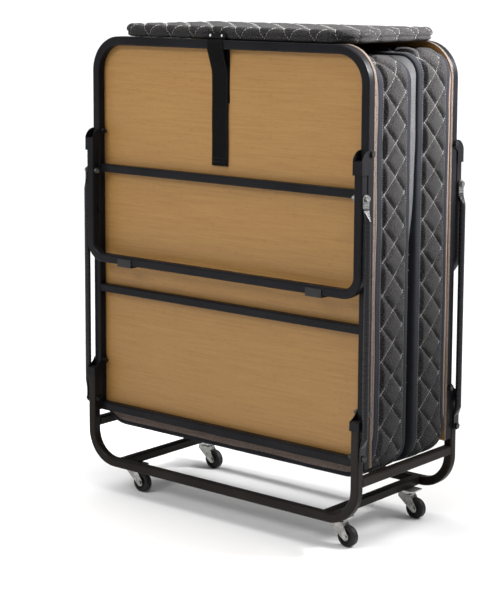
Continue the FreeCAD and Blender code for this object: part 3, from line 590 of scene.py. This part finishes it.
def mattress_half(end, toward):
    """One half. toward is -1 for the front bed half and 1 for the rear one."""
    low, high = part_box(end + "_mattress")
    half_x, top, bottom = high[0], high[2] - TOP_DROP[end], low[2] + 0.001
    loop = RoundedLoop(half_x, (top - bottom) / 2, MATTRESS_CORNER, (0.0, (top + bottom) / 2),
                       MATTRESS_TOP_CORNER)
    cushion = Cushion(loop, MATTRESS_THICK, EDGE_ROUND, lambda x, z, h: np.stack(
        [x, toward * (BOARD_FACE - 0.0003 - h), z], 1))
    body = end + "_panel"

    count = 2 * round(loop.length / MATTRESS_STEP)
    along = np.linspace(0, loop.length, count + 1)
    height_z = loop.at(along)[0][:, 1]

    def below(size, low_z, high_z):
        return size * (1 - smooth(height_z, low_z, high_z))

    # the board-side binding wanders towards the face at the bottom and the top, and the inner one grows wider
    # along the lower sides
    high_size, *high_heights = HIGH_WANDER
    tape_from = BINDING_FROM - below(*LOW_WANDER) - high_size * smooth(height_z, *high_heights)
    tape_from = tape_from + 0.0012 * ripple(along / 0.05, 0 * along, 3)
    tape_to = tape_from + BINDING
    inner_from = BORDER_TO + 0.001 * ripple(along / 0.04, 0 * along, 4)
    inner_to = inner_from + INNER_BINDING + below(*SIDE_WANDER)
    knots = [0 * along - BOARD_FACE_EDGE, tape_from, tape_to, inner_from, inner_to]
    counts = [18, 9, 34, 9]
    rows = between_knots(knots, counts)
    looks = [FELT, TAPE, QUILT, TICKING]

    right_side = (loop.half_u - loop.radius) + math.pi * loop.radius / 2
    node_along = right_side + BORDER_NODE_Z - (loop.middle[1] - loop.half_v + loop.radius)
    pitch_along = loop.length / round(loop.length / QUILT_PITCH[1])
    border_seed, sleeping_seed = SEEDS[end]
    border = Quilting(QUILT_PITCH[0], pitch_along, ((BORDER_FROM + BORDER_TO) / 2, node_along),
                      BORDER_RISE, border_seed)
    sleeping = Quilting(*QUILT_PITCH, SLEEPING_NODE, SLEEPING_RISE, sleeping_seed)

    def fullness(place):
        """Less along the bottom, where the two halves meet when the bed is open."""
        return 1 - MEETING_CUT * np.interp(place, along, 1 - smooth(height_z, MEETING_FROM, MEETING_TO))

    def border_rise(across, place):
        start = np.interp(place, along, tape_to)
        stop = np.interp(place, along, inner_from)
        inner = np.minimum(across - start, stop - across)
        bulge = BORDER_BULGE * np.sin(np.clip((across - start) / (stop - start), 0, 1) * math.pi)
        free = smooth(inner, -0.0005, 0.007) * fullness(place)
        return 0.0004 + (border.rise(across, place) + bulge) * free

    def crown(points):
        depth = loop.inside(points)
        uneven = 0.0010 * ripple(points[:, 0] / 0.06, points[:, 1] / 0.06, 5)
        return (CROWN * smooth(depth, 0.004, 0.070) + uneven) * smooth(depth, 0.004, 0.03)

    def face_rise(points):
        puffs = sleeping.rise(points[:, 0], points[:, 1]) * smooth(loop.inside(points), 0.010, 0.022)
        return crown(points) + puffs

    rings, strips = [], []
    for number, across in enumerate(rows):
        zone = int(np.searchsorted(np.cumsum(counts), number, side="right"))
        if zone in (1, 3):
            start, stop = knots[zone], knots[min(zone + 1, 4)]
            share = np.clip((across - start) / (stop - start), 0, 1)
            out = BINDING_BULGE * (1 - (2 * share - 1) ** 6)
            out = out + 0.0002 * ripple(along / 0.012, across / 0.03, 9)
        elif zone == 2:
            out = border_rise(across, along)
        elif zone == 0:
            side = smooth(across, 0.001, 0.008) * smooth(tape_from, 0.0, 0.009)
            out = (0.0026 + 0.0012 * ripple(along / 0.055, 0 * along, 6)) * side
        else:
            out = 0 * along
        plane, height, _ = cushion.edge(along, across, out)
        rings.append((cushion.in_frame(plane, height)[:-1], np.stack([across, along], 1), plane))
    for zone, rows_here in enumerate(counts):
        strips += [((0, 1, 2, 1)[zone], 1 if zone else 2)] * rows_here

    def face_rings(start, steps, height_of):
        hub = loop.spine(start)
        for share in steps:
            plane = start + (hub - start) * share
            yield (cushion.in_frame(plane, height_of(plane))[:-1], plane, plane)

    start, height, _ = cushion.edge(along, rows[-1], 0 * along)
    inner_steps = np.linspace(0, 1, 76)[1:]
    rings += list(face_rings(start, inner_steps, lambda plane: MATTRESS_THICK + face_rise(plane)))
    strips += [(3, 2)] * len(inner_steps)
    start, height, _ = cushion.edge(along, rows[0], 0 * along)
    felt_steps = np.linspace(0, 1, 5)[1:]
    felt = list(face_rings(start, felt_steps, lambda plane: 0 * plane[:, 0]))
    rings = felt[::-1] + rings
    strips = [(0, 2)] * len(felt_steps) + strips
    piece = skin(end + "_mattress_cover", rings, strips, looks, body)
    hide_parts(end + "_mattress")

    def on_border(places, lift):
        across, place = places[:, 0], places[:, 1]
        plane, height, tilt = cushion.edge(place, across, 0 * across + lift)
        return cushion.in_frame(plane, height), cushion.directions(tilt)

    found = border.stitches((BORDER_FROM - 0.026, 0), (BORDER_TO, loop.length), QUILT_STITCH_PITCH)
    places, ways = np.array([p for p, _ in found]), np.array([w for _, w in found])
    inner = np.minimum(places[:, 0] - np.interp(places[:, 1], along, tape_to),
                       np.interp(places[:, 1], along, inner_from) - places[:, 0])
    places, ways, inner = places[inner > 0.001], ways[inner > 0.001], inner[inner > 0.001]
    across_share = np.sin(np.pi * (places[:, 0] - BORDER_FROM + 0.002) / (BORDER_TO - BORDER_FROM + 0.004))
    middle = np.clip(across_share, 0, 1) * smooth(inner, 0, 0.007)
    lift = 0.0013 + BORDER_BULGE * middle * fullness(places[:, 1])
    spots, normals = on_border(places, lift)
    ahead, _ = on_border(places + ways * 0.002, lift)
    stitching(end + "_border_stitches", spots, ahead, normals, QUILT_STITCH, THREAD, body)

    seams, seams_ahead, seam_normals = [], [], []
    step = np.arange(0, loop.length, BINDING_STITCH_PITCH)
    for line in (np.interp(step, along, tape_to) - BINDING_SEAM,
                 np.interp(step, along, inner_from) + BINDING_SEAM):
        spots, normals = on_border(np.stack([line, step], 1), 0.0018)
        ahead, _ = on_border(np.stack([line, step + 0.002], 1), 0.0018)
        seams, seams_ahead, seam_normals = seams + [spots], seams_ahead + [ahead], seam_normals + [normals]
    stitching(end + "_binding_stitches", *map(np.concatenate, (seams, seams_ahead, seam_normals)),
              BINDING_STITCH, DARK_THREAD, body)

    found = sleeping.stitches((-half_x, bottom), (half_x, top), SLEEPING_STITCH_PITCH)
    places, ways = np.array([p for p, _ in found]), np.array([w for _, w in found])
    keep = loop.inside(places) > 0.016
    places, ways = places[keep], ways[keep]

    def on_face(points):
        return cushion.in_frame(points, MATTRESS_THICK + crown(points) + 0.0012)

    normals = np.tile([0.0, -toward, 0.0], (len(places), 1))
    stitching(end + "_sleeping_side_stitches", on_face(places), on_face(places + ways * 0.002), normals,
              SLEEPING_STITCH, THREAD, body)


mattress_half("front", -1)
mattress_half("rear", 1)


# ---------------------------------------------------------------- headboard pad

PAD_INSET, PAD_SHIFT = 0.005, 0.011            # from the CAD solid's sides, and to the cot's right
PAD_BEHIND = 0.006                 # the cover passes the rear edge of the pad's core
PAD_CORNER, PAD_EDGE_ROUND, PAD_STEP = 0.056, 0.0125, 0.0064
PAD_PITCH, PAD_NODE, PAD_SEED = (0.0735, 0.0762), (-0.0246, -0.1825), 41
PAD_THINNER, PAD_LOWER = 0.0100, 0.0018        # the seamed slab that the puffs rise from, against the solid
PAD_RISE, PAD_BULGE, PAD_CROWN = 0.0042, 0.0045, 0.0035
SEAM_DEPTH, SEAM_WIDTH = 0.0030, 0.0028        # the seam round the pad's edge
SEAM_AT = 0.46                     # as a share of the way across the edge
CLAMP_X, CLAMP_REACH = -0.020, 0.036


def headboard():
    low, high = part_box("headboard_pad")
    loop = RoundedLoop((high[0] - low[0]) / 2 - PAD_INSET, (high[1] - low[1] + PAD_BEHIND - PAD_INSET) / 2,
                       PAD_CORNER, ((low[0] + high[0]) / 2 + PAD_SHIFT,
                                    (low[1] + high[1] + PAD_BEHIND + PAD_INSET) / 2))
    thickness = high[2] - low[2] - PAD_THINNER
    floor = low[2] - PAD_LOWER
    cushion = Cushion(loop, thickness, PAD_EDGE_ROUND, lambda x, y, h: np.stack([x, y, floor + h], 1))
    quilt = Quilting(*PAD_PITCH, PAD_NODE, PAD_RISE, PAD_SEED)
    seam = cushion.far * SEAM_AT

    def unrolled(point, normal, across):
        return point + normal * (cushion.far - across - cushion.corner)[:, None]

    def free(across, point):
        """How free the edge is to stand out: little where the strap's clamp presses it."""
        near_clamp = np.exp(-((point[:, 0] - CLAMP_X) / CLAMP_REACH) ** 4) * (point[:, 1] < 0)
        return 1 - 0.97 * near_clamp * (1 - smooth(across, 0.022, 0.034))

    def edge_bulge(across, point):
        """The filling's push and, halfway up, the seam's groove."""
        bulge = PAD_BULGE * np.sin(np.clip(across / cushion.far, 0, 1) * math.pi) * free(across, point)
        return bulge - SEAM_DEPTH * np.exp(-((across - seam) / SEAM_WIDTH) ** 2)

    def edge_rise(places, across, point):
        puffs = quilt.rise(places[:, 0], places[:, 1]) * smooth(across, 0.004, 0.016)
        return puffs * free(across, point) + edge_bulge(across, point)

    def top_rise(plane):
        return PAD_CROWN * smooth(loop.inside(plane), 0.0, 0.15) + quilt.rise(plane[:, 0], plane[:, 1])

    def under_rise(plane):
        """The quilting under the pad, its creases pressed up and its puffs resting on the frames."""
        pressed = np.maximum(quilt.height - quilt.rise(plane[:, 0], plane[:, 1]), 0)
        return pressed * smooth(loop.inside(plane), 0.014, 0.030)

    count = 2 * round(loop.length / PAD_STEP)
    along = np.linspace(0, loop.length, count + 1)
    point, normal = loop.at(along)
    rings = []
    for share in np.linspace(0, 1, 22):
        across = 0 * along + cushion.far * share
        places = unrolled(point, normal, across)
        plane, height, _ = cushion.edge_at(point, normal, across, edge_rise(places, across, point))
        rings.append((cushion.in_frame(plane, height)[:-1], places, places))
    start, _, _ = cushion.edge_at(point, normal, 0 * along + cushion.far, 0 * along)
    hub = loop.spine(start)
    for share in np.linspace(0, 1, 52)[1:]:
        plane = start + (hub - start) * share
        rings.append((cushion.in_frame(plane, thickness + top_rise(plane))[:-1], plane, plane))
    under, _, _ = cushion.edge_at(point, normal, 0 * along, 0 * along)
    hub = loop.spine(under)
    for share in np.linspace(0, 1, 52)[1:]:
        plane = under + (hub - under) * share
        rings.insert(0, (cushion.in_frame(plane, under_rise(plane))[:-1], plane, plane))
    piece = skin("headboard_cover", rings, [(0, 1)] * (len(rings) - 1), [QUILT], "rear_panel")
    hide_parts("headboard_pad")

    def on_pad(places):
        depth = loop.inside(places)
        core = np.array([loop.half_u - loop.radius, loop.half_v - loop.radius])
        inner = loop.middle + np.clip(places - loop.middle, -core, core)
        away = places - inner
        normal = away / np.maximum(np.linalg.norm(away, axis=1), 1e-9)[:, None]
        across = cushion.far - cushion.corner + np.minimum(depth, cushion.corner)
        edge = inner + normal * loop.radius
        plane, height, tilt = cushion.edge_at(edge, normal, across, edge_bulge(across, edge) + 0.0016)
        top = depth > cushion.corner
        plane[top] = places[top]
        height[top] = (thickness + 0.0014 + PAD_CROWN * smooth(depth, 0.0, 0.15))[top]
        tilt[top] = (0, 0, 1)
        return cushion.in_frame(plane, height), cushion.directions(tilt), across

    reach = cushion.far - cushion.corner
    found = quilt.stitches((-loop.half_u - reach, loop.middle[1] - loop.half_v - reach),
                           (loop.half_u + reach, loop.middle[1] + loop.half_v + reach), QUILT_STITCH_PITCH)
    places, ways = np.array([p for p, _ in found]), np.array([w for _, w in found])
    spots, normals, across = on_pad(places)
    keep = loop.inside(places) > -(cushion.far - cushion.corner - 0.013)
    ahead, _, _ = on_pad(places + ways * 0.001)
    below = loop.inside(places) > 0.024
    low_spots, low_ahead = (cushion.in_frame(p[below], 0 * p[below, 0] + quilt.height - 0.0006)
                            for p in (places, places + ways * 0.001))
    stitching("headboard_stitches", np.concatenate([spots[keep], low_spots]),
              np.concatenate([ahead[keep], low_ahead]),
              np.concatenate([normals[keep], np.tile([0.0, 0.0, -1.0], (len(low_spots), 1))]),
              QUILT_STITCH, THREAD, "rear_panel")


headboard()


# ---------------------------------------------------------------- strap

def rounded_line(corners, rounding, step):
    """Even points along a line whose corners are rounded, starting that far before each corner."""
    corners = [np.array(corner, float) for corner in corners]
    points = [corners[0]]
    for before, corner, after in zip(corners, corners[1:], corners[2:]):
        enter = corner + (before - corner) * min(rounding / np.linalg.norm(before - corner), 0.5)
        leave = corner + (after - corner) * min(rounding / np.linalg.norm(after - corner), 0.5)
        points += [(1 - t) ** 2 * enter + 2 * t * (1 - t) * corner + t * t * leave
                   for t in np.linspace(0, 1, 7)]
    points = np.array(points + [corners[-1]])
    walked = np.concatenate([[0], np.cumsum(np.linalg.norm(np.diff(points, axis=0), axis=1))])
    even = np.linspace(0, walked[-1], round(walked[-1] / step) + 1)
    return np.stack([np.interp(even, walked, points[:, k]) for k in (0, 1)], 1), even


def webbing(name, corners, middle, width, thickness, look):
    """A band of webbing along corners (y, z), with thicker selvedges and a faint cross rib."""
    line, walked = rounded_line(corners, 0.012, 0.0012)
    along = np.gradient(line, axis=0)
    along /= np.linalg.norm(along, axis=1)[:, None]
    outward = np.stack([along[:, 1], -along[:, 0]], 1)
    turn = np.linspace(0, 2 * math.pi, 64, endpoint=False)
    side = np.sign(np.cos(turn)) * np.abs(np.cos(turn)) ** 0.35
    lift = np.sign(np.sin(turn)) * np.abs(np.sin(turn)) ** 0.25
    selvedge = 1 + 0.22 * np.exp(-((np.abs(side) - 0.92) / 0.05) ** 2)
    points, places = [], []
    for number, (spot, out) in enumerate(zip(line, outward)):
        rib = 1 + 0.10 * (-1) ** number
        height = thickness * 0.41 * lift * selvedge * rib
        waver = 0.0003 * math.sin(walked[number] / 0.019)
        x = middle + side * width / 2 + waver
        points.append(np.stack([x, spot[0] + out[0] * height, spot[1] + out[1] * height], 1))
        places.append(np.stack([side * width / 2, 0 * side + walked[number]], 1))
    count, here = len(turn), np.arange(len(turn))
    faces = [np.stack([n * count + here, (n + 1) * count + here, (n + 1) * count + (here + 1) % count,
                       n * count + (here + 1) % count], 1).tolist() for n in range(len(line) - 1)]
    faces = sum(faces, []) + [here[::-1].tolist(), (here + (len(line) - 1) * count).tolist()]
    mesh = bpy.data.meshes.new(name)
    mesh.from_pydata(np.concatenate(points).tolist(), [], faces)
    corner_of = np.empty(len(mesh.loops), np.int32)
    mesh.loops.foreach_get("vertex_index", corner_of)
    places = np.concatenate(places)[corner_of].astype(np.float32)
    mesh.uv_layers.new(name="cloth").data.foreach_set("uv", places.ravel())
    shape = bmesh.new()
    shape.from_mesh(mesh)
    bmesh.ops.recalc_face_normals(shape, faces=shape.faces)
    shape.to_mesh(mesh)
    shape.free()
    piece = link_piece(name, mesh, [look], "front_panel")
    return piece, line, outward


def strap():
    low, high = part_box("strap")
    back_low, back_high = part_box("strap_backing")
    middle, width, thick = (low[0] + high[0]) / 2, high[0] - low[0], back_high[1] - back_low[1]
    outside = low[1] + thick / 2
    on_board = back_low[1] - thick / 2
    top = high[2] - thick / 2
    piece, line, outward = webbing("strap_webbing", [
        (high[1] - 0.001, top), (outside, top), (outside, back_high[2]), (on_board, back_low[2] + 0.075),
        (on_board, low[2] + 0.002)], middle, width, thick, WEBBING)
    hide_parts("strap")
    backing_y = (back_low[1] + back_high[1]) / 2
    tape_line = [(backing_y, back_high[2]), (backing_y, back_low[2])]
    piece, _, _ = webbing("strap_hook_tape", tape_line, middle + 0.003, width, thick, HOOK_TAPE)
    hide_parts("strap_backing")

    rows, side_row = [], 0.021
    for side in (-side_row, side_row):
        rows += [(side, k) for k in range(24, len(line) - 8, 3)]
    rows += [(x / 1000, len(line) - k) for k in (9, 17) for x in range(-19, 20, 4)]
    spots = np.array([(middle + x, *(line[k] + outward[k] * thick * 0.42)) for x, k in rows])
    normals = np.array([(0, *outward[k]) for _, k in rows])
    last = len(line) - 1
    ways = np.array([(1, 0, 0) if abs(x) < side_row and k > last - 19 else
                     (0, *(line[min(k + 1, last)] - line[k - 1])) for x, k in rows])
    stitching("strap_stitches", spots, spots + ways, normals, STRAP_STITCH, WEB_THREAD, "front_panel")


strap()


# ---------------------------------------------------------------- floor, light and camera

def studio_floor():
    look = Look("studio_floor", (0.88, 0.88, 0.88), 0.55)
    look.set("Base Color", look.ramp(look.noise(look.position(), 0.4, 2.0), (0.3, (0.875, 0.875, 0.875)),
                                     (0.7, (0.885, 0.885, 0.885))))
    mesh = bpy.data.meshes.new("studio_floor")
    half = 150.0
    corners = [(-half, -half, 0), (half, -half, 0), (half, half, 0), (-half, half, 0)]
    mesh.from_pydata(corners, [], [(0, 1, 2, 3)])
    mesh.materials.append(look.material)
    floor = bpy.data.objects.new("studio_floor", mesh)
    bpy.context.collection.objects.link(floor)


def sky(low, high):
    """Studio light as strong as low from the sides, rising to high from straight above."""
    world = bpy.data.worlds.new("studio")
    bpy.context.scene.world = world
    world.use_nodes = True
    nodes, links = world.node_tree.nodes, world.node_tree.links
    background = next(n for n in nodes if n.type == "BACKGROUND")
    background.inputs["Color"].default_value = (1, 1, 1, 1)
    place = nodes.new("ShaderNodeTexCoord")
    split = nodes.new("ShaderNodeSeparateXYZ")
    ramp = nodes.new("ShaderNodeMapRange")
    ramp.interpolation_type = "SMOOTHSTEP"
    for socket, value in (("From Min", 0.5), ("From Max", 1.0), ("To Min", low), ("To Max", high)):
        ramp.inputs[socket].default_value = value
    links.new(place.outputs["Generated"], split.inputs["Vector"])
    links.new(split.outputs["Z"], ramp.inputs["Value"])
    links.new(ramp.outputs["Result"], background.inputs["Strength"])


def soft_light(name, place, target, size, power, spread=180):
    """A softbox whose grid keeps its light within spread degrees."""
    light = bpy.data.lights.new(name, "AREA")
    light.shape, light.size, light.size_y = "RECTANGLE", *size
    light.energy, light.spread = power, math.radians(spread)
    lamp = bpy.data.objects.new(name, light)
    lamp.location = place
    lamp.rotation_euler = (Vector(target) - Vector(place)).to_track_quat("-Z", "Y").to_euler()
    bpy.context.collection.objects.link(lamp)


studio_floor()
sky(0.08, 3.30)
soft_light("key", (1.8, 1.20, 2.30), (0.35, 0.0, 1.45), (0.9, 0.9), 54, spread=52)
soft_light("front_fill", (-1.0, -3.6, 3.0), (0, 0, 1.35), (1.6, 1.2), 14, spread=60)

lens = bpy.data.cameras.new("camera")
lens.lens, lens.sensor_width = 101.52, 36.0
lens.shift_x, lens.shift_y = -0.0071, -0.15
camera = bpy.data.objects.new("camera", lens)
camera.location = (2.630, -3.214, 1.313)
camera.rotation_euler = (math.pi / 2 - 0.1356, -0.0052, 0.6951)
bpy.context.collection.objects.link(camera)
bpy.context.scene.camera = camera
bpy.context.scene.view_settings.view_transform = "Standard"
